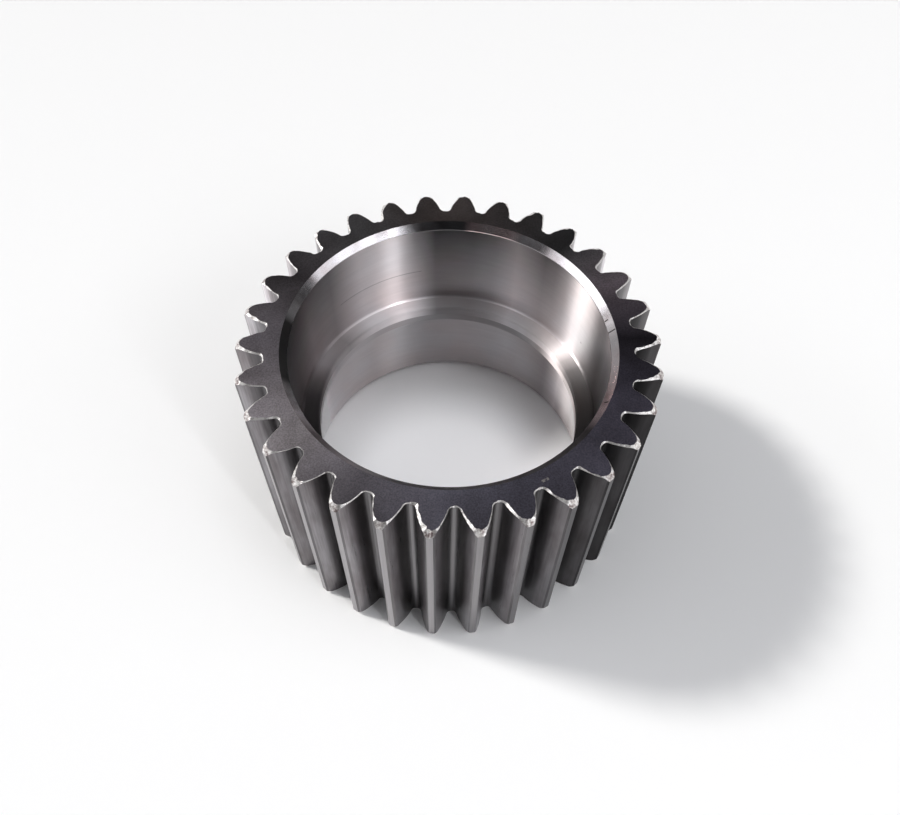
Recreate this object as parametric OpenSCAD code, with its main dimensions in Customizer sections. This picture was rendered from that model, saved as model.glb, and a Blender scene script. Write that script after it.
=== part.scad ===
// Planet gear: one steel spur gear ring. Its bore is two ground bearing seats, one from
// each end, with a rib between them. It stands on an end face, +Z along its axis, origin
// at the centre of the lower face, with one tooth centred on +X.

/* [Teeth] */
// Number of teeth
teeth = 30; // [29:1:60]
// Module: reference diameter for each tooth
tooth_module = 3.5; // [3.4:0.1:6]
// Pressure angle in degrees
pressure_angle = 25; // [20:0.5:27]
// Profile shift, in modules
profile_shift = 0; // [-0.1:0.05:0.3]
// Height of a tooth above its shifted reference line, in modules
addendum = 1; // [0.8:0.05:1.1]
// Depth of a tooth below its shifted reference line, in modules
dedendum = 1.1; // [1:0.05:1.3]
// Radius on the cutting rack's corners, which leaves the root fillets
cutter_corner_r = 0.9; // [0.4:0.1:1.2]
// Bevel along both long edges of each tooth tip
tip_edge = 0.45; // [0.1:0.05:0.6]
// Bevel of the tooth tips at both end faces
tip_chamfer = 1; // [0.3:0.1:2]

/* [Body] */
// Width of the gear between its end faces
face_width = 67; // [40:1:120]
// Diameter of the two bearing seats
seat_d = 85; // [78:0.5:90]
// Bevel at the mouth of each seat
seat_chamfer = 1.8; // [0.5:0.1:3]
// Fillet where each seat meets the rib
seat_fillet = 1; // [0.3:0.1:1.1]
// Width of the rib between the seats
rib_width = 6; // [3:0.5:20]
// Diameter of the hole through the rib
rib_d = 75; // [60:0.5:81]
// Bevel on both edges of the rib's hole
rib_edge = 0.4; // [0.2:0.1:0.5]

/* [Hidden] */

// Facets round each circle in the preview
$fn = 144;

// Points along each root fillet and each flank
fillet_steps = 5;
flank_steps = 7;
// How far a cutter or an outline runs past the surface that it trims
overrun = 0.5;

// Radii of the gear's circles
pitch_r = tooth_module * teeth / 2;
base_r = pitch_r * cos(pressure_angle);
tip_r = pitch_r + tooth_module * (addendum + profile_shift);
seat_r = seat_d / 2;
rib_r = rib_d / 2;
seat_depth = (face_width - rib_width) / 2;

// The rack that cuts the teeth: its depth below the pitch circle, half the width of its
// tip, the corner radius that this tip leaves room for, and the corner arc's centre
rack_depth = tooth_module * (dedendum - profile_shift);
rack_tip_half = tooth_module * (PI / 4 - dedendum * tan(pressure_angle));
corner_slope = tan(45 - pressure_angle / 2);
corner_r = min(cutter_corner_r, rack_tip_half / corner_slope);
arc_x = rack_tip_half - corner_r * corner_slope;
arc_y = rack_depth - corner_r;

function degrees(radians) = radians * 180 / PI;
function polar(r, angle) = [r * cos(angle), r * sin(angle)];
function involute(angle) = degrees(tan(angle)) - angle;

// Half the angle that a tooth spans, at a radius on its involute flank
half_at_pitch = degrees((PI / 4 + profile_shift * tan(pressure_angle)) / (teeth / 2));
function flank_half(r) = half_at_pitch + involute(pressure_angle) - involute(acos(base_r / r));

// A point of the root fillet as [radius, half angle], from the root at u = 0 to the
// flank at u = 1: the corner arc's envelope as the rack rolls round the pitch circle
function fillet_point(u) =
    let (
        x = u * arc_y / tan(pressure_angle),
        stretch = 1 + corner_r / norm([x, arc_y]),
        p = [x * stretch, pitch_r - arc_y * stretch],
        roll = degrees((x - arc_x) / pitch_r)
    )
    [norm(p), 180 / teeth - atan2(p.x, p.y) + roll];

// A point of the flank as [radius, half angle], from the fillet at u = 0 to the tip bevel
flank_start_r = fillet_point(1)[0];
flank_end_r = tip_r - tip_edge;
function flank_point(u) =
    let (r = flank_start_r + u * (flank_end_r - flank_start_r))
    [r, flank_half(r)];

// The bevel's far end, carried past the tip circle so that the blank trims it
function bevel_point() =
    let (rise = tip_edge + overrun)
    [flank_end_r + rise, flank_half(flank_end_r) - degrees(rise / tip_r)];

half_tooth = concat(
    [for (i = [0 : fillet_steps - 1]) fillet_point(i / fillet_steps)],
    [for (i = [0 : flank_steps]) flank_point(i / flank_steps)],
    [bevel_point()]
);
last = len(half_tooth) - 1;

module tooth_outline() {
    polygon([
        for (tooth = [0 : teeth - 1])
            for (side = [-1, 1])
                for (i = [0 : last])
                    let (p = half_tooth[side < 0 ? i : last - i])
                    polar(p[0], tooth * 360 / teeth + side * p[1])
    ]);
}

// The turned blank that the teeth are cut from, bevelled at both ends
module blank() {
    rotate_extrude()
        polygon([
            [0, 0],
            [tip_r - tip_chamfer, 0],
            [tip_r, tip_chamfer],
            [tip_r, face_width - tip_chamfer],
            [tip_r - tip_chamfer, face_width],
            [0, face_width]
        ]);
}

// Half section of one bearing seat, open at z = 0, with the fillet at its blind end
module seat_section() {
    square([seat_r, seat_depth - seat_fillet]);
    square([seat_r - seat_fillet, seat_depth]);
    translate([seat_r - seat_fillet, seat_depth - seat_fillet])
        circle(seat_fillet);
}

module seat() {
    rotate_extrude()
        intersection() {
            seat_section();
            square([seat_r, seat_depth]);
        }
    translate([0, 0, -overrun])
        cylinder(h = overrun + seat_chamfer, r1 = seat_r + seat_chamfer + overrun, r2 = seat_r);
    translate([0, 0, seat_depth])
        cylinder(h = rib_edge, r1 = rib_r + rib_edge, r2 = rib_r);
}

module bore() {
    seat();
    translate([0, 0, face_width])
        mirror([0, 0, 1])
            seat();
    translate([0, 0, seat_depth - overrun])
        cylinder(h = rib_width + 2 * overrun, r = rib_r);
}

module planet_gear() {
    color([0.32, 0.32, 0.34])
        difference() {
            intersection() {
                blank();
                translate([0, 0, -overrun])
                    linear_extrude(face_width + 2 * overrun)
                        tooth_outline();
            }
            bore();
        }
}

planet_gear();
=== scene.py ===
"""Looks of a steel planet gear standing on a white surface, in the row frame, in metres."""

import math

import bpy
import numpy as np
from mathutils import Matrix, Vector

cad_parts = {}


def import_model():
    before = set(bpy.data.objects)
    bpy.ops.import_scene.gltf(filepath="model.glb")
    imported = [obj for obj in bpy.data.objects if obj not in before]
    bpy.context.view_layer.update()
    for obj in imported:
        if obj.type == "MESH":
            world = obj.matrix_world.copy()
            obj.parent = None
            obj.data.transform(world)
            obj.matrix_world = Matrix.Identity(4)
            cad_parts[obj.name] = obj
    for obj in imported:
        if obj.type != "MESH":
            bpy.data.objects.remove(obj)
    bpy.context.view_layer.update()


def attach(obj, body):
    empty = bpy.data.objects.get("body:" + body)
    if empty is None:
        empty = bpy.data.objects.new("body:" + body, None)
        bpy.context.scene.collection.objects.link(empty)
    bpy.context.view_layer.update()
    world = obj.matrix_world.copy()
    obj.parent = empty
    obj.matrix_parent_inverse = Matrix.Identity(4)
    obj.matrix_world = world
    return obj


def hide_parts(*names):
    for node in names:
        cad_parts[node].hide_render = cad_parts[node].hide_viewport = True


MM = 0.001

# The gear's sizes in millimetres, as the CAD part has them
TEETH = 30
MODULE = 3.5
PRESSURE_ANGLE = math.radians(25)
PROFILE_SHIFT = 0.0
ADDENDUM = 1.0
DEDENDUM = 1.1
CORNER_R = 0.9
TIP_EDGE = 0.45
TIP_CHAMFER = 1.0
WIDTH = 67.0
SEAT_R = 42.5
SEAT_CHAMFER = 1.8
SEAT_FILLET = 1.0
RIB_WIDTH = 6.0
RIB_R = 37.5
RIB_EDGE = 0.4

PITCH_R = MODULE * TEETH / 2
BASE_R = PITCH_R * math.cos(PRESSURE_ANGLE)
TIP_R = PITCH_R + MODULE * (ADDENDUM + PROFILE_SHIFT)
END_R = TIP_R - TIP_CHAMFER
ROOT_R = PITCH_R - MODULE * (DEDENDUM - PROFILE_SHIFT)
HALF_PITCH = math.pi / TEETH

# Radius of a plain ring on the end faces, between the bore's bevel and the teeth
FACE_RING_R = 46.5
# How far the bore's bevel is eased where it meets the seat
BEVEL_LIP = 0.06
# How far the tooth tips' corners are rounded off at the end faces, and a limit to its growth
TIP_ROUND = 0.7
TIP_ROUND_LIMIT = 1.2
# How near counts as on it, for the tip lands, the roots, the bevelled tip ends and the rib
LAND_SLACK = 0.01
ROOT_SLACK = 0.03
TIP_END_SLACK = 0.1
RIB_SLACK = 0.05
# Points along each root fillet, each flank and each seat's fillet
FILLET_POINTS = 9
FLANK_POINTS = 20
SEAT_FILLET_POINTS = 10

# Width of the deburred edges: at the roots, what the tips add, each flank's own share of it,
# how ragged it is, over which spans of stations, and its limits
EDGE_EVEN = 0.2
EDGE_TIP = 0.2
EDGE_OWN = (0.6, 1.25)
EDGE_RAGGED = 1.6
EDGE_SPANS = (1, 2, 5, 18)
EDGE_LIMITS = (0.05, 1.2)
# Blobs on those edges: their least and greatest width, how far up the tooth and how wide
TIP_BLOBS = (0.04, 0.36)
TIP_BLOB_PLACE = (0.95, 0.16)
ROOT_BLOBS = (0, 0.245)
ROOT_BLOB_PLACE = (0.08, 0.1)
# Azimuth in degrees that the widest edges face, and how much wider they are
WIDE_EDGES = -165
WIDE_EDGES_EXTRA = 0.45
# How far down the wall stops at an edge, and the share of the edge's width that adds to it
EDGE_DROP = 0.12
EDGE_DROP_SHARE = 0.55

SEED = 7
SMOOTH_UP_TO = math.radians(14)

# Material slots of the gear's mesh
FACE, FLANK, LAND, BURR, TIP_END, BEVEL, BORE = range(7)

# Camera: place in metres, turn in degrees, lens and sensor width in millimetres
CAMERA_AT = (-0.004957, -0.136842, 0.238823)
CAMERA_TURN = (33.9639, -0.5828, -1.4122)
CAMERA_LENS = 33.468
CAMERA_SENSOR = 36
CAMERA_NEAR = 0.01

FLOOR_SIZE = 3
FLOOR_COLOUR = (0.92, 0.92, 0.925, 1)

# Lamps: the key is a sun; each other is (name, azimuth, elevation, width, height, radiance),
# with its direction and its size in degrees as seen from the gear
KEY_FROM = (162, 42)
KEY_WIDTH = 8
KEY_STRENGTH = 2.2
KEY_COLOUR = (1.0, 0.985, 0.95)
LAMP_DISTANCE = 2.0
LAMP_AIM_HEIGHT = 0.03
LAMP_COLOUR = (0.965, 0.975, 1.0)
LAMPS = (
    ("right_strip", -53, 38, 3, 22, 19.0),
    ("right_box_1", -47, 42, 20, 12, 1.4),
    ("right_box_2", -27, 38, 20, 12, 1.8),
    ("right_box_3", -8, 32, 20, 12, 1.5),
    ("right_high", -42, 68, 16, 16, 2.9),
    ("right_wide", -12, 58, 36, 24, 0.9),
    ("left_box_1", -168, 34, 14, 12, 1.7),
    ("left_box_2", 178, 31, 14, 14, 2.4),
    ("left_box_3", 165, 26, 14, 16, 2.0),
    ("left_wide", -168, 58, 36, 24, 0.7),
    ("over_left", 180, 78, 24, 20, 1.2),
    ("over_right", 0, 78, 24, 20, 2.3),
)
# A small spot lamp straight above the bore: its beam's centre and radius on the floor
# in millimetres, its blend, its power, and the lamp's own radius in metres
BORE_SPOT = (-1, -8)
BORE_SPOT_RADIUS = 36
BORE_SPOT_BLEND = 0.3
BORE_SPOT_POWER = 50
BORE_SPOT_LAMP_R = 0.01
# The world is white up to the first height on its sphere and dark above the second
HORIZON = (0.26, 0.36)
DOME = (0.022, 0.022, 0.024)

# Colours, each from its darker to its lighter patches
OXIDE = ((0.085, 0.081, 0.084), (0.114, 0.11, 0.117))
FLANK_STEEL = ((0.108, 0.096, 0.10), (0.19, 0.181, 0.19))
LAND_STEEL = ((0.27, 0.255, 0.265), (0.33, 0.315, 0.325))
BURR_STEEL = ((0.3, 0.27, 0.26), (0.72, 0.70, 0.69))
TIP_END_STEEL = ((0.2, 0.15, 0.15), (0.6, 0.56, 0.55), (0.95, 0.93, 0.92))
BEVEL_STEEL = ((0.47, 0.43, 0.44), (0.59, 0.57, 0.59))
BORE_STEEL = ((0.54, 0.488, 0.49), (0.565, 0.55, 0.565))
SCRATCH_COLOUR = (0.3, 0.28, 0.27)
CUT_COLOUR = (0.1, 0.09, 0.09)

# How bright each surface is round the gear, as (azimuth, tone), a factor on its colour. The
# light and dark stretches stand in for the reflections of a room that is not known, and were
# set by comparing renders with the photograph.
FACE_TONES = (
    (-180, 2.0), (-160, 3.3), (-142, 3.2), (-118, 1.22), (-90, 1.2), (-72, 0.82), (-45, 1.09),
    (-30, 1.15), (-15, 0.82), (0, 0.26), (22, 2.4), (34, 2.2), (45, 0.54), (90, 1.15),
    (120, 1.3), (135, 1.2), (150, 0.55), (180, 2.0),
)
# Painted tints of the light on the end faces: cooler at the front and right, and warmer at the left
# and back
FACE_LIGHT_TINTS = (
    (-180, (1.01, 0.95, 1.01)), (-143, (1.03, 0.98, 0.98)), (-118, (1.02, 0.97, 1.04)),
    (-90, (0.95, 0.94, 1.11)), (-15, (0.95, 0.9, 1.15)), (22, (1.08, 0.92, 1.0)),
    (45, (0.98, 0.98, 0.98)), (90, (1.13, 0.96, 0.88)), (120, (1.0, 1.0, 1.0)),
    (150, (1.03, 0.95, 0.98)), (180, (1.01, 0.95, 1.01)),
)
FLANK_TONES = (
    (-180, 1.8), (-155, 1.15), (-132, 1.12), (-118, 1.45), (-108, 1.42), (-96, 1.22),
    (-78, 1.58), (-60, 0.9), (-46, 0.33), (-20, 0.24), (0, 0.58), (12, 0.6), (27, 1.85),
    (40, 4.5), (60, 2.2), (130, 2.2), (151, 4.9), (160, 4.2), (168, 2.8), (180, 1.8),
)
LAND_TONES = ((-180, 1.2), (-110, 1.1), (-84, 0.8), (-55, 0.36), (0, 0.6), (90, 1.0), (180, 1.2))
BEVEL_TONES = (
    (-180, 0.013), (-165, 0.02), (-150, 1.5), (-140, 0.3), (-40, 0.3), (-30, (1.8, 1.5, 1.5)),
    (-20, (0.45, 0.39, 0.39)), (0, 0.45), (6, 0.9), (10, 1.8), (18, 1.2), (46, 1.0), (60, 0.55),
    (66, (1.85, 1.53, 1.48)), (80, (1.85, 1.47, 1.42)), (83, 0.3), (110, 0.32), (120, 1.0),
    (145, 1.1), (162, 0.5), (170, 0.03), (180, 0.013),
)
# The bore's painted upright highlight streaks, as (azimuth, tone at its mouth, tone above the rib)
BORE_TONES = (
    (-180, 0.1, 0.58), (-60, 0.8, 0.25), (0, 1.1, 0.22), (6, 0.62, 0.22), (12, 0.66, 0.24),
    (18, 1.25, 0.27), (24, 1.38, 0.65), (30, 1.5, 1.58), (36, 0.8, 1.28), (42, 0.44, 1.2),
    (48, 0.31, 1.25), (60, 0.74, 1.8), (70, 0.34, 1.3), (79, 0.16, 1.05), (94, 0.12, 0.82),
    (102, 0.52, 1.42), (110, 1.36, 1.6), (118, 1.2, 1.36), (127, 1.3, 1.36), (142, 0.48, 0.95),
    (157, 0.36, 1.66), (166, 0.17, 1.03), (174, 0.13, 0.62), (180, 0.1, 0.58),
)
# Painted reflections on the bore's lower half, as (azimuth, tone)
LOW_BORE_TONES = (
    (-180, 2.4), (-60, 1.6), (6, 1.4), (12, 0.8), (18, 0.6), (31, 1.3), (40, 0.65), (50, 0.86),
    (62, 1.0), (85, 0.98), (112, 0.73), (125, 0.86), (140, 1.2), (152, 1.5), (162, 2.4),
    (180, 2.4),
)
# What the right side's flanks add to their roughness, as (azimuth, roughness)
FLANK_ROUGHNESS = ((-180, 0.0), (-66, 0.0), (-46, 0.32), (-10, 0.32), (14, 0.0), (180, 0.0))

# Small marks as (radius or height, half width, azimuth, half span), in millimetres and degrees
FACE_SCRATCHES = (
    (44.6, 0.08, -157, 7),
    (47.8, 0.10, -151.5, 4.5),
    (47.2, 0.35, -63, 1.2),
    (46.3, 0.07, -141, 6),
)
BEVEL_CUTS = (
    (43.4, 0.8, 4.2, 0.3),
    (43.0, 0.4, 9.5, 0.25),
    (43.6, 0.5, -27, 0.3),
)
BORE_MARKS = (
    (48.7, 0.12, 119, 19),
    (27.6, 0.35, 126.7, 0.8),
    (45.1, 0.3, 22, 0.4),
)


# Tooth outline

def involute(angle):
    return math.tan(angle) - angle


def fillet_point(u):
    """A point of the root fillet as (radius, half angle): the root at u = 0, the flank at u = 1."""
    painted_shade = MODULE * (DEDENDUM - PROFILE_SHIFT)
    tip_half = MODULE * (math.pi / 4 - DEDENDUM * math.tan(PRESSURE_ANGLE))
    arc_x = tip_half - CORNER_R * math.tan(math.pi / 4 - PRESSURE_ANGLE / 2)
    arc_y = painted_shade - CORNER_R
    x = u * arc_y / math.tan(PRESSURE_ANGLE)
    stretch = 1 + CORNER_R / math.hypot(x, arc_y)
    px, py = x * stretch, PITCH_R - arc_y * stretch
    return math.hypot(px, py), HALF_PITCH - math.atan2(px, py) + (x - arc_x) / PITCH_R


def flank_half(radius):
    """Half the angle that a tooth spans at a radius on its involute flank."""
    at_pitch = (math.pi / 4 + PROFILE_SHIFT * math.tan(PRESSURE_ANGLE)) / (TEETH / 2)
    return at_pitch + involute(PRESSURE_ANGLE) - involute(math.acos(BASE_R / radius))


def half_outline():
    """(radius, half angle) from the middle of a tooth space to the middle of the tip."""
    points = [(fillet_point(0)[0], HALF_PITCH)]
    points += [fillet_point(u) for u in np.linspace(0, 1, FILLET_POINTS)]
    start, end = points[-1][0], TIP_R - TIP_EDGE
    points += [(r, flank_half(r)) for r in np.linspace(start, end, FLANK_POINTS)[1:]]
    land = flank_half(end) - TIP_EDGE / TIP_R
    points += [(TIP_R, land), (TIP_R, land * 2 / 3), (TIP_R, land / 3)]
    return points


def outline():
    """Radius, angle and tooth centre angle of every station round the gear."""
    half = half_outline()
    full = half + [(TIP_R, 0)] + [(r, -a) for r, a in half[:0:-1]]
    radius, angle, centre = [], [], []
    for tooth in range(TEETH):
        middle = 2 * HALF_PITCH * tooth
        for r, a in full:
            radius.append(r)
            angle.append(middle - a)
            centre.append(middle)
    return np.array(radius), np.array(angle), np.array(centre)


def ragged(count, rng, spans):
    """Noise round the closed outline, -1 to 1: random values smoothed over each span."""
    total = np.zeros(count)
    for span in spans:
        raw = rng.uniform(-1, 1, count)
        spread = np.exp(-0.5 * (np.arange(-3 * span, 3 * span + 1) / span) ** 2)
        padded = np.concatenate([raw[-3 * span:], raw, raw[:3 * span]])
        smooth = np.convolve(padded, spread, "valid")
        total += smooth / np.abs(smooth).max()
    return total / len(spans)


# The gear's mesh: one closed profile at each station round the outline

def polar(radius, angle):
    return np.stack([radius * np.cos(angle), radius * np.sin(angle)], 1)


def hill(value, middle, width):
    """A smooth bump: 1 at the middle and 0 well past the width on either side."""
    return np.exp(-((value - middle) / width) ** 2)


def edge_widths(radius, angle, centre, rng):
    """Width of the deburred edge at each station: wider at the tips and on edges that face left."""
    rise = np.clip((radius - ROOT_R) / (END_R - ROOT_R), 0, 1)
    flank = np.round(centre / HALF_PITCH).astype(int) + (angle > centre)
    own = rng.uniform(*EDGE_OWN, 2 * TEETH)[flank]
    tip_blob = rng.uniform(*TIP_BLOBS, 2 * TEETH)[flank] * hill(rise, *TIP_BLOB_PLACE)
    root_blob = rng.uniform(*ROOT_BLOBS, 2 * TEETH)[flank] * hill(rise, *ROOT_BLOB_PLACE)
    facing = centre + np.where(angle > centre, 0.5, -0.5) * math.pi
    sides = 1 + WIDE_EDGES_EXTRA * np.cos(facing - math.radians(WIDE_EDGES))
    even = (EDGE_EVEN + EDGE_TIP * rise + tip_blob + root_blob) * own * sides
    noise = ragged(len(radius), rng, EDGE_SPANS)
    return np.clip(even * (1 + EDGE_RAGGED * noise), *EDGE_LIMITS)


def end_loops(radius, angle, centre, width):
    """The deburred edge at one end: points on the end face, and how far the wall stops below it."""
    points = polar(radius, angle)
    along = np.roll(points, -1, 0) - np.roll(points, 1, 0)
    along /= np.linalg.norm(along, axis=1)[:, None]
    outward = np.stack([along[:, 1], -along[:, 0]], 1)
    inset = points - outward * width[:, None]
    end_half = flank_half(END_R)
    end_r = END_R - width / 2
    near_tip = radius > END_R
    share = (angle - centre) / end_half
    tip_inset = polar(end_r, centre + share * (end_half - width / END_R))
    inset[near_tip] = tip_inset[near_tip]
    reach = np.hypot(*inset.T)
    aside = (np.arctan2(inset[:, 1], inset[:, 0]) - centre + math.pi) % (2 * math.pi) - math.pi
    rounded = end_r - TIP_ROUND * np.minimum((aside / end_half) ** 2, TIP_ROUND_LIMIT)
    inset *= (np.minimum(reach, rounded) / reach)[:, None]
    drop = np.maximum(radius - END_R, 0) + EDGE_DROP + EDGE_DROP_SHARE * width
    return inset, drop


def bore_profile():
    """Half of the bore's section as (radius, depth below the end face, slot), from face to rib."""
    painted_shade = (WIDTH - RIB_WIDTH) / 2
    rows = [
        (SEAT_R + SEAT_CHAMFER, 0, BEVEL),
        (SEAT_R + BEVEL_LIP, SEAT_CHAMFER - BEVEL_LIP, BEVEL),
        (SEAT_R, SEAT_CHAMFER + BEVEL_LIP, BORE),
        (SEAT_R, painted_shade / 2, BORE),
    ]
    for turn in np.radians(np.linspace(0, 90, SEAT_FILLET_POINTS)):
        rows.append((
            SEAT_R - SEAT_FILLET * (1 - math.cos(turn)),
            painted_shade - SEAT_FILLET * (1 - math.sin(turn)),
            BORE,
        ))
    rows += [(RIB_R + RIB_EDGE, painted_shade, BORE), (RIB_R, painted_shade + RIB_EDGE, BORE)]
    return rows


def gear_loops(radius, angle, centre):
    """Closed loops of points round the gear, up its outside and down its bore, and their slots."""
    rng = np.random.default_rng(SEED)
    loops, slots = [], []

    def add(points, z, slot):
        loops.append(np.column_stack([points, np.broadcast_to(z, len(radius))]))
        slots.append(slot)

    def ring(r):
        return polar(np.full(len(radius), r), angle)

    low_width = edge_widths(radius, angle, centre, rng)
    high_width = edge_widths(radius, angle, centre, rng)
    bottom, low_drop = end_loops(radius, angle, centre, low_width)
    top, high_drop = end_loops(radius, angle, centre, high_width)
    wall = polar(radius, angle)
    add(bottom, 0, BURR)
    add(wall, low_drop, FLANK)
    add(wall, WIDTH / 2, FLANK)
    add(wall, WIDTH - high_drop, BURR)
    add(top, WIDTH, FACE)
    add(ring(FACE_RING_R), WIDTH, FACE)
    rows = bore_profile()
    for r, painted_shade, slot in rows:
        add(ring(r), WIDTH - painted_shade, slot)
    for r, painted_shade, _ in rows[:0:-1]:
        add(ring(r), painted_shade, BORE)
    add(ring(SEAT_R + SEAT_CHAMFER), 0, FACE)
    add(ring(FACE_RING_R), 0, FACE)
    return loops, slots


def gear_mesh():
    """One closed skin over the loops, each band of it in its material slot."""
    radius, angle, centre = outline()
    loops, slots = gear_loops(radius, angle, centre)
    following = np.roll(radius, -1)
    nearest = np.minimum(radius, following)
    on_tip_end = nearest > END_R + TIP_END_SLACK
    on_land = nearest > TIP_R - LAND_SLACK
    on_root = np.maximum(radius, following) < ROOT_R + ROOT_SLACK
    count, levels = len(radius), len(loops)
    here = np.arange(count)
    beside = (here + 1) % count
    faces, marks = [], []
    for level, slot in enumerate(slots):
        low, high = level * count, (level + 1) % levels * count
        faces.append(np.stack([low + here, low + beside, high + beside, high + here], 1))
        mark = np.full(count, slot)
        if slot == BURR:
            mark[on_tip_end] = TIP_END
        if slot == FLANK:
            mark[on_land | on_root] = LAND
        marks.append(mark)
    mesh = bpy.data.meshes.new("gear")
    verts = np.concatenate(loops) * MM
    mesh.from_pydata(verts.tolist(), [], np.concatenate(faces).tolist())
    mesh.polygons.foreach_set("material_index", np.concatenate(marks).astype(np.int32))
    mesh.polygons.foreach_set("use_smooth", np.ones(len(mesh.polygons), bool))
    mesh.set_sharp_from_angle(angle=SMOOTH_UP_TO)
    mesh.update()
    return mesh


# Materials

class Graph:
    """Short names for wiring one material's nodes."""

    def __init__(self, name):
        self.material = bpy.data.materials.new(name)
        self.material.use_nodes = True
        self.tree = self.material.node_tree
        self.shader = self.tree.nodes["Principled BSDF"]

    def node(self, kind, inputs=None, **settings):
        made = self.tree.nodes.new(kind)
        for key, value in settings.items():
            setattr(made, key, value)
        for key, value in (inputs or {}).items():
            self.feed(made.inputs[key], value)
        return made

    def feed(self, socket, value):
        if isinstance(value, bpy.types.NodeSocket):
            self.tree.links.new(value, socket)
        else:
            socket.default_value = value

    def math(self, operation, a, b=0.0, clamp=False):
        made = self.node("ShaderNodeMath", {0: a, 1: b}, operation=operation)
        made.use_clamp = clamp
        return made.outputs[0]

    def near(self, value, middle, reach):
        """1 where the value is within reach of the middle, else 0."""
        inputs = {0: value, 1: middle, 2: reach}
        return self.node("ShaderNodeMath", inputs, operation="COMPARE").outputs[0]

    def place(self):
        return self.node("ShaderNodeTexCoord").outputs["Object"]

    def scaled(self, vector, scale):
        made = self.node("ShaderNodeVectorMath", {0: vector, 1: scale}, operation="MULTIPLY")
        return made.outputs[0]

    def noise(self, vector, scale, detail=2.0, roughness=0.5):
        made = self.node("ShaderNodeTexNoise", {
            "Vector": vector, "Scale": scale, "Detail": detail, "Roughness": roughness,
        })
        return made.outputs["Fac"]

    def ramp(self, value, *stops):
        made = self.node("ShaderNodeValToRGB", {"Fac": value})
        elements = made.color_ramp.elements
        while len(elements) < len(stops):
            elements.new(0.5)
        for element, (position, colour) in zip(elements, stops):
            element.position = position
            element.color = (*colour, 1) if isinstance(colour, tuple) else (colour,) * 3 + (1,)
        return made.outputs["Color"]

    def mix(self, factor, a, b, blend="MIX"):
        made = self.node("ShaderNodeMix", {"Factor": factor}, data_type="RGBA", blend_type=blend)
        self.feed(made.inputs[6], a if isinstance(a, bpy.types.NodeSocket) else (*a, 1))
        self.feed(made.inputs[7], b if isinstance(b, bpy.types.NodeSocket) else (*b, 1))
        return made.outputs[2]

    def tinted(self, colour, tone):
        return self.mix(1.0, colour, tone, "MULTIPLY")

    def bump(self, height, distance, strength=1.0):
        made = self.node("ShaderNodeBump", {
            "Height": height, "Distance": distance, "Strength": strength,
        })
        return made.outputs["Normal"]

    def finish(self, **inputs):
        for key, value in inputs.items():
            self.feed(self.shader.inputs[key.replace("_", " ")], value)
        return self.material


def round_axis(g):
    """A direction that follows the angle round the axis, and the radius and height."""
    x, y, z = g.node("ShaderNodeSeparateXYZ", {0: g.place()}).outputs
    radius = g.math("SQRT", g.math("ADD", g.math("MULTIPLY", x, x), g.math("MULTIPLY", y, y)))
    return g.math("DIVIDE", x, radius), g.math("DIVIDE", y, radius), radius, z


def turned(g, around, across):
    """Coordinates whose noise makes lines round the axis: scales along and across them."""
    cos, sin, radius, z = round_axis(g)
    return g.node("ShaderNodeCombineXYZ", {
        0: g.math("MULTIPLY", cos, around),
        1: g.math("MULTIPLY", sin, around),
        2: g.math("MULTIPLY", g.math("ADD", radius, z), across),
    }).outputs[0]


def azimuth_of(g):
    cos, sin = round_axis(g)[:2]
    return g.math("ARCTAN2", sin, cos)


def arc_mark(g, across, mark):
    """1 inside a short arc round the axis, else 0, where across is the radius or the height."""
    middle, half_width, azimuth, half_span = mark
    on_line = g.near(across, middle * MM, half_width * MM)
    in_span = g.near(azimuth_of(g), math.radians(azimuth), math.radians(half_span))
    return g.math("MULTIPLY", on_line, in_span)


def round_tone(g, stops):
    """A tone that changes round the gear, from stops of (azimuth in degrees, tone)."""
    turn = g.math("ADD", g.math("DIVIDE", azimuth_of(g), 2 * math.pi), 0.5)
    return g.ramp(turn, *((azimuth / 360 + 0.5, tone) for azimuth, tone in stops))


def tooth_rise(g):
    """0 at the roots of the teeth and 1 at their tips."""
    above = g.math("SUBTRACT", round_axis(g)[2], ROOT_R * MM)
    return g.math("DIVIDE", above, (TIP_R - ROOT_R) * MM)


def oxide_face():
    g = Graph("dark oxide face")
    radius = round_axis(g)[2]
    grain = g.noise(g.place(), 2400, 2, 0.6)
    patches = g.noise(g.place(), 60, 4, 0.6)
    colour = g.ramp(patches, (0.35, OXIDE[0]), (0.65, OXIDE[1]))
    colour = g.tinted(colour, g.ramp(grain, (0.34, 0.8), (0.66, 1.2)))
    # painted reflections and painted tints of the light round the gear, on top of the oxide's own
    # colour
    colour = g.tinted(colour, round_tone(g, FACE_TONES))
    colour = g.tinted(colour, round_tone(g, FACE_LIGHT_TINTS))
    chips = g.ramp(g.noise(g.place(), 1800, 2, 0.6), (0.44, 0.0), (0.56, 1.0))
    for mark in FACE_SCRATCHES:
        scratch = g.math("MULTIPLY", arc_mark(g, radius, mark), chips)
        colour = g.mix(scratch, colour, SCRATCH_COLOUR)
    lines = g.noise(turned(g, 6, 5200), 1, 2, 0.6)
    relief = g.math("ADD", grain, g.math("MULTIPLY", lines, 0.4))
    return g.finish(
        Base_Color=colour, Metallic=1.0, Normal=g.bump(relief, 0.03 * MM, 0.5),
        Roughness=g.ramp(patches, (0.3, 0.40), (0.7, 0.46)),
    )


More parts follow.
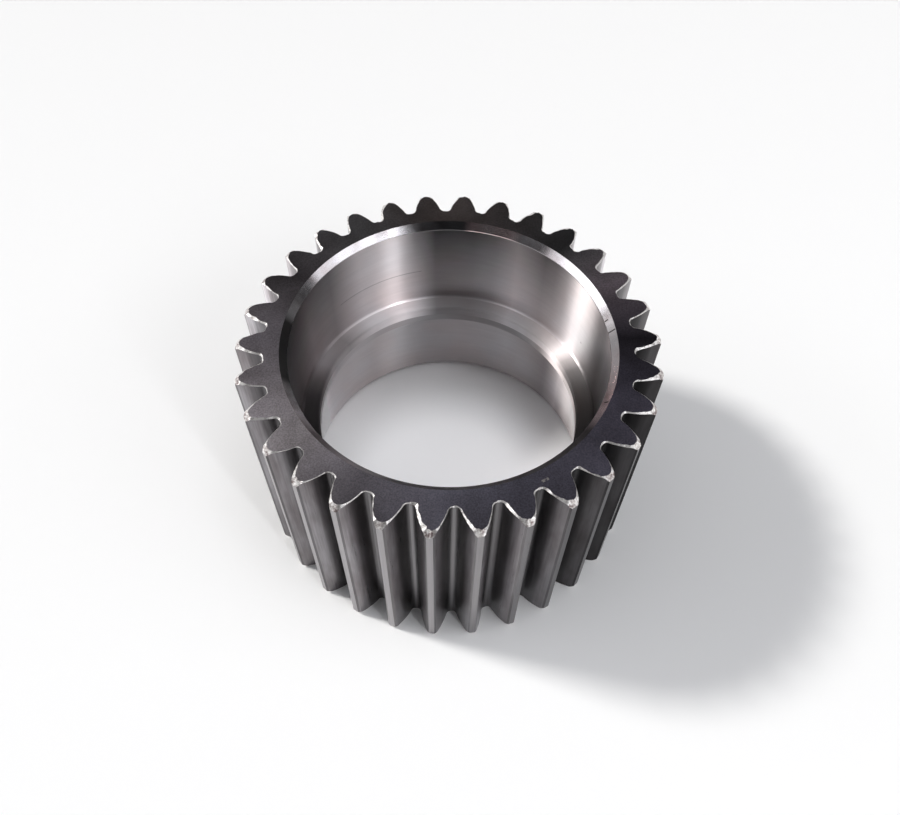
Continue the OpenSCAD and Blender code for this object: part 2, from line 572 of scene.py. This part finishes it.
def tooth_flank():
    g = Graph("tooth flank")
    streaks = g.noise(g.scaled(g.place(), (1.0, 1.0, 0.03)), 2000, 3, 0.6)
    patches = g.noise(g.scaled(g.place(), (1.0, 1.0, 0.25)), 140, 3, 0.6)
    # painted shade: darker towards the roots between the teeth, lighter near the tips, and darker
    # again on the bevels at the tips
    painted_shade = g.ramp(tooth_rise(g), (0.05, 0.35), (0.48, 0.6), (0.6, 1.05), (0.93, 1.25), (0.95, 0.6))
    colour = g.ramp(patches, (0.35, FLANK_STEEL[0]), (0.62, FLANK_STEEL[1]))
    colour = g.tinted(colour, g.ramp(streaks, (0.3, 0.78), (0.7, 1.2)))
    colour = g.tinted(colour, painted_shade)
    # painted reflections and light: brighter and darker stretches round the gear
    colour = g.tinted(colour, round_tone(g, FLANK_TONES))
    rough = g.ramp(streaks, (0.3, 0.27), (0.7, 0.36))
    return g.finish(
        Base_Color=colour, Metallic=1.0, Normal=g.bump(streaks, 0.04 * MM, 0.3),
        Roughness=g.math("ADD", rough, round_tone(g, FLANK_ROUGHNESS)),
    )


def tip_land():
    g = Graph("bare tip land")
    streaks = g.noise(g.scaled(g.place(), (1.0, 1.0, 0.02)), 2400, 2, 0.6)
    colour = g.ramp(streaks, (0.3, LAND_STEEL[0]), (0.7, LAND_STEEL[1]))
    colour = g.tinted(colour, g.ramp(tooth_rise(g), (0.2, 0.6), (0.8, 1.0)))
    # painted reflections: brighter and darker stretches round the gear
    colour = g.tinted(colour, round_tone(g, LAND_TONES))
    return g.finish(Base_Color=colour, Metallic=1.0, Roughness=0.34)


def bare_burr():
    g = Graph("deburred edge")
    grain = g.noise(g.place(), 1300, 3, 0.7)
    colour = g.ramp(grain, (0.32, BURR_STEEL[0]), (0.48, BURR_STEEL[1]))
    return g.finish(
        Base_Color=colour, Metallic=1.0, Normal=g.bump(grain, 0.2 * MM, 0.5), Roughness=0.4,
    )


def tooth_end():
    g = Graph("bevelled tooth tip")
    grain = g.noise(g.place(), 900, 3, 0.7)
    colour = g.ramp(grain, *zip((0.35, 0.5, 0.62), TIP_END_STEEL))
    return g.finish(
        Base_Color=colour, Metallic=1.0, Normal=g.bump(grain, 0.2 * MM, 0.5), Roughness=0.36,
    )


def polished_bevel():
    g = Graph("polished bevel")
    radius = round_axis(g)[2]
    lines = g.noise(turned(g, 8, 4200), 1, 2, 0.6)
    patches = g.noise(g.place(), 160, 3, 0.6)
    colour = g.ramp(patches, (0.35, BEVEL_STEEL[0]), (0.6, BEVEL_STEEL[1]))
    # painted reflections: brighter, darker and tinted stretches round the gear
    colour = g.tinted(colour, round_tone(g, BEVEL_TONES))
    for mark in BEVEL_CUTS:
        colour = g.mix(arc_mark(g, radius, mark), colour, CUT_COLOUR)
    return g.finish(
        Base_Color=colour, Metallic=1.0, Normal=g.bump(lines, 0.01 * MM, 0.15),
        Roughness=g.ramp(patches, (0.3, 0.15), (0.7, 0.22)),
    )


def bore_tone(g, height):
    """The bore's painted highlight streaks and reflections: a blend from rib to mouth above mid
    height, one tone below it.
    """
    rib_top = (WIDTH + RIB_WIDTH) / 2 * MM
    mouth = (WIDTH - SEAT_CHAMFER) * MM
    rise = g.math("DIVIDE", g.math("SUBTRACT", height, rib_top), mouth - rib_top, clamp=True)
    at_mouth = round_tone(g, [(azimuth, tone) for azimuth, tone, _ in BORE_TONES])
    at_rib = round_tone(g, [(azimuth, tone) for azimuth, _, tone in BORE_TONES])
    is_upper = g.math("GREATER_THAN", height, WIDTH / 2 * MM)
    return g.mix(is_upper, round_tone(g, LOW_BORE_TONES), g.mix(rise, at_rib, at_mouth))


def ground_bore():
    g = Graph("ground bore")
    height = round_axis(g)[3]
    fine = g.noise(turned(g, 5, 6000), 1, 2, 0.6)
    broad = g.noise(turned(g, 3, 700), 1, 3, 0.6)
    patches = g.noise(g.place(), 45, 2, 0.5)
    on_rib = g.near(height, WIDTH / 2 * MM, (RIB_WIDTH / 2 + RIB_SLACK) * MM)
    colour = g.ramp(patches, (0.35, BORE_STEEL[0]), (0.65, BORE_STEEL[1]))
    colour = g.tinted(colour, g.ramp(broad, (0.3, 0.95), (0.7, 1.03)))
    # painted highlight streaks and reflections round the bore
    colour = g.tinted(colour, bore_tone(g, height))
    for mark in BORE_MARKS:
        faint = g.math("MULTIPLY", arc_mark(g, height, mark), 0.5)
        colour = g.mix(faint, colour, CUT_COLOUR)
    colour = g.tinted(colour, g.ramp(on_rib, (0.0, 1.0), (1.0, 0.88)))
    tangent = g.node("ShaderNodeTangent", direction_type="RADIAL", axis="Z").outputs[0]
    return g.finish(
        Base_Color=colour, Metallic=1.0, Anisotropic=1.0, Anisotropic_Rotation=0.25,
        Tangent=tangent, Normal=g.bump(fine, 0.02 * MM, 0.2),
        Roughness=g.ramp(on_rib, (0.0, 0.39), (1.0, 0.62)),
    )


# The scene

def main():
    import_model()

    gear = bpy.data.objects.new("gear_ring", gear_mesh())
    bpy.context.scene.collection.objects.link(gear)
    for make in (
        oxide_face, tooth_flank, tip_land, bare_burr, tooth_end, polished_bevel, ground_bore,
    ):
        gear.data.materials.append(make())
    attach(gear, "root")
    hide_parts("planet_gear")

    floor()
    camera()
    lamps()
    bore_lamp()
    world()
    bpy.context.scene.view_settings.view_transform = "Standard"


def floor():
    bpy.ops.mesh.primitive_plane_add(size=FLOOR_SIZE)
    plane = bpy.context.object
    plane.name = "floor"
    g = Graph("white floor")
    plane.data.materials.append(g.finish(Base_Color=FLOOR_COLOUR, Roughness=0.8))


def camera():
    data = bpy.data.cameras.new("camera")
    data.lens = CAMERA_LENS
    data.sensor_width = CAMERA_SENSOR
    data.clip_start = CAMERA_NEAR
    made = bpy.data.objects.new("camera", data)
    made.location = CAMERA_AT
    made.rotation_euler = [math.radians(turn) for turn in CAMERA_TURN]
    bpy.context.scene.collection.objects.link(made)
    bpy.context.scene.camera = made


def aimed(data, azimuth, elevation):
    """A lamp that faces the gear from an azimuth and a height above the floor, in degrees."""
    lamp = bpy.data.objects.new(data.name, data)
    a, e = math.radians(azimuth), math.radians(elevation)
    away = Vector((math.cos(a) * math.cos(e), math.sin(a) * math.cos(e), math.sin(e)))
    lamp.location = away * LAMP_DISTANCE + Vector((0, 0, LAMP_AIM_HEIGHT))
    lamp.rotation_mode = "QUATERNION"
    lamp.rotation_quaternion = away.to_track_quat("Z", "Y")
    bpy.context.scene.collection.objects.link(lamp)


def lamps():
    key = bpy.data.lights.new("key", "SUN")
    key.energy = KEY_STRENGTH
    key.angle = math.radians(KEY_WIDTH)
    key.color = KEY_COLOUR
    aimed(key, *KEY_FROM)
    for name, azimuth, elevation, width, height, radiance in LAMPS:
        box = bpy.data.lights.new(name, "AREA")
        box.shape = "RECTANGLE"
        box.size = 2 * LAMP_DISTANCE * math.tan(math.radians(width / 2))
        box.size_y = 2 * LAMP_DISTANCE * math.tan(math.radians(height / 2))
        box.energy = radiance * math.pi * box.size * box.size_y
        box.color = LAMP_COLOUR
        aimed(box, azimuth, elevation)


def bore_lamp():
    """The spot lamp straight above the bore."""
    spot = bpy.data.lights.new("bore_spot", "SPOT")
    spot.energy = BORE_SPOT_POWER
    spot.color = LAMP_COLOUR
    spot.spot_size = 2 * math.atan(BORE_SPOT_RADIUS * MM / LAMP_DISTANCE)
    spot.spot_blend = BORE_SPOT_BLEND
    spot.shadow_soft_size = BORE_SPOT_LAMP_R
    lamp = bpy.data.objects.new("bore_spot", spot)
    lamp.location = (BORE_SPOT[0] * MM, BORE_SPOT[1] * MM, LAMP_DISTANCE)
    bpy.context.scene.collection.objects.link(lamp)


def world():
    """A room that is white round the horizon and dark above it."""
    made = bpy.data.worlds.new("world")
    bpy.context.scene.world = made
    made.use_nodes = True
    tree = made.node_tree
    place = tree.nodes.new("ShaderNodeTexCoord")
    split = tree.nodes.new("ShaderNodeSeparateXYZ")
    ramp = tree.nodes.new("ShaderNodeValToRGB")
    tree.links.new(place.outputs["Generated"], split.inputs[0])
    tree.links.new(split.outputs["Z"], ramp.inputs[0])
    tree.links.new(ramp.outputs[0], tree.nodes["Background"].inputs["Color"])
    low, high = ramp.color_ramp.elements
    low.position, low.color = HORIZON[0], (1, 1, 1, 1)
    high.position, high.color = HORIZON[1], (*DOME, 1)


main()
